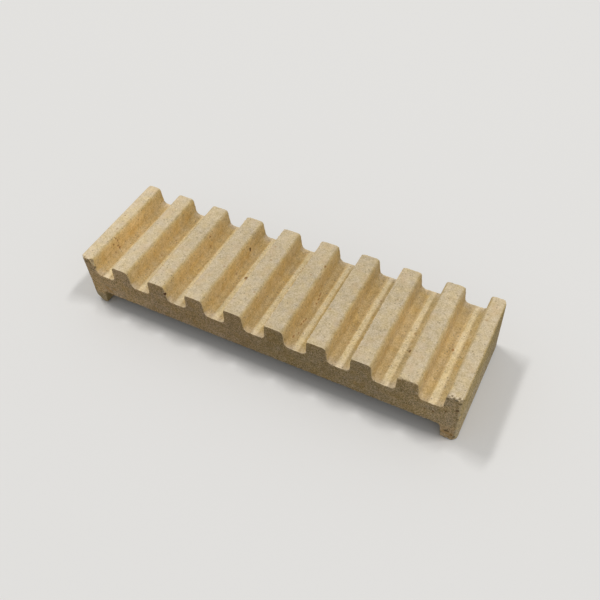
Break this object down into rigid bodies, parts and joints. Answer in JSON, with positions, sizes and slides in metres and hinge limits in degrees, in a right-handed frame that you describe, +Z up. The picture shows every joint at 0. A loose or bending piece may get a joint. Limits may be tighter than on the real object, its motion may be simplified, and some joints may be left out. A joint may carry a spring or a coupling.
{
  "type": "kiln post",
  "caption": "Straight refractory kiln post with a row of open slots across its top that hold ware on edge, standing on a low foot at each end.",
  "frame": {"origin": "on the shelf that the post stands on, midway between the two feet and midway across the bar", "axes": "+X along the bar, +Y across it along the slots, +Z up towards the tooth tops"},
  "size_m": [0.25, 0.075, 0.04],
  "materials": {
    "refractory": "matt fired refractory, buff, with fine grog specks and small open pores"
  },
  "bodies": {
    "root": {"kiln_post": "refractory"}
  },
  "joints": []
}
